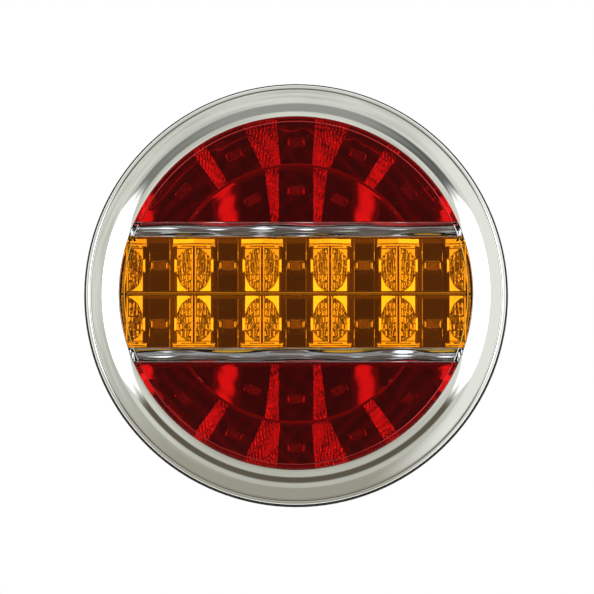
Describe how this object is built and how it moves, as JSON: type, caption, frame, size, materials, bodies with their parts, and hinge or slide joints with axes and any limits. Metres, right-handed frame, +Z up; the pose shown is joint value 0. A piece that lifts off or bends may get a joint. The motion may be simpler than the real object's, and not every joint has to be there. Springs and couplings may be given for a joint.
{
  "type": "trailer tail light",
  "caption": "Round LED rear combination lamp for a trailer, with red and amber lens segments, a chromed bezel and rear mounting studs.",
  "frame": {"origin": "centre of the mounting plane, which is the rear face of the foam gasket", "axes": "-Y out of the lens, +Y towards the panel and along the studs, +Z up, +X to the right of a viewer who faces the lens"},
  "size_m": [0.14, 0.054, 0.14],
  "materials": {
    "housing_black": "moulded black, fine texture",
    "gasket_foam": "closed-cell foam rubber",
    "zinc_steel": "zinc plated",
    "nut_steel": "zinc plated",
    "washer_steel": "zinc plated",
    "spring_steel": "plain spring steel",
    "grommet_rubber": "moulded rubber",
    "vent_grey": "moulded grey",
    "membrane_white": "porous membrane",
    "bezel_chrome": "bright chrome plate",
    "seal_rubber": "soft seal",
    "lens_red": "clear tinted, polished",
    "lens_amber": "clear tinted, polished",
    "lens_clear": "clear, polished",
    "reflector_metal": "vacuum metallised",
    "board_white": "white solder mask",
    "potting_black": "cured potting resin",
    "screw_steel": "zinc plated",
    "led_red_body": "moulded package",
    "led_amber_body": "moulded package",
    "chip_black": "moulded epoxy",
    "resistor_dark": "glazed",
    "capacitor_can": "drawn can",
    "header_ivory": "moulded nylon"
  },
  "bodies": {
    "root": {"rear_housing": "housing_black", "mounting_gasket": "gasket_foam", "mounting_studs": "zinc_steel", "flat_washers": "washer_steel", "spring_washers": "spring_steel", "stud_nuts": "nut_steel", "cable_grommet": "grommet_rubber", "breather_vent": "vent_grey", "vent_membrane": "membrane_white", "chrome_bezel": "bezel_chrome", "lens_seal": "seal_rubber", "upper_red_lens": "lens_red", "upper_clear_bar": "lens_clear", "amber_lens": "lens_amber", "lower_clear_bar": "lens_clear", "lower_red_lens": "lens_red", "upper_reflector": "reflector_metal", "amber_reflector": "reflector_metal", "lower_reflector": "reflector_metal", "led_board": "board_white", "potting_bead": "potting_black", "board_screws": "screw_steel", "upper_red_leds": "led_red_body", "amber_leds": "led_amber_body", "lower_red_leds": "led_red_body", "driver_chips": "chip_black", "chip_resistors": "resistor_dark", "rectifier_diodes": "chip_black", "smoothing_capacitor": "capacitor_can", "suppressor_diode": "chip_black", "wire_header": "header_ivory"}
  },
  "joints": []
}
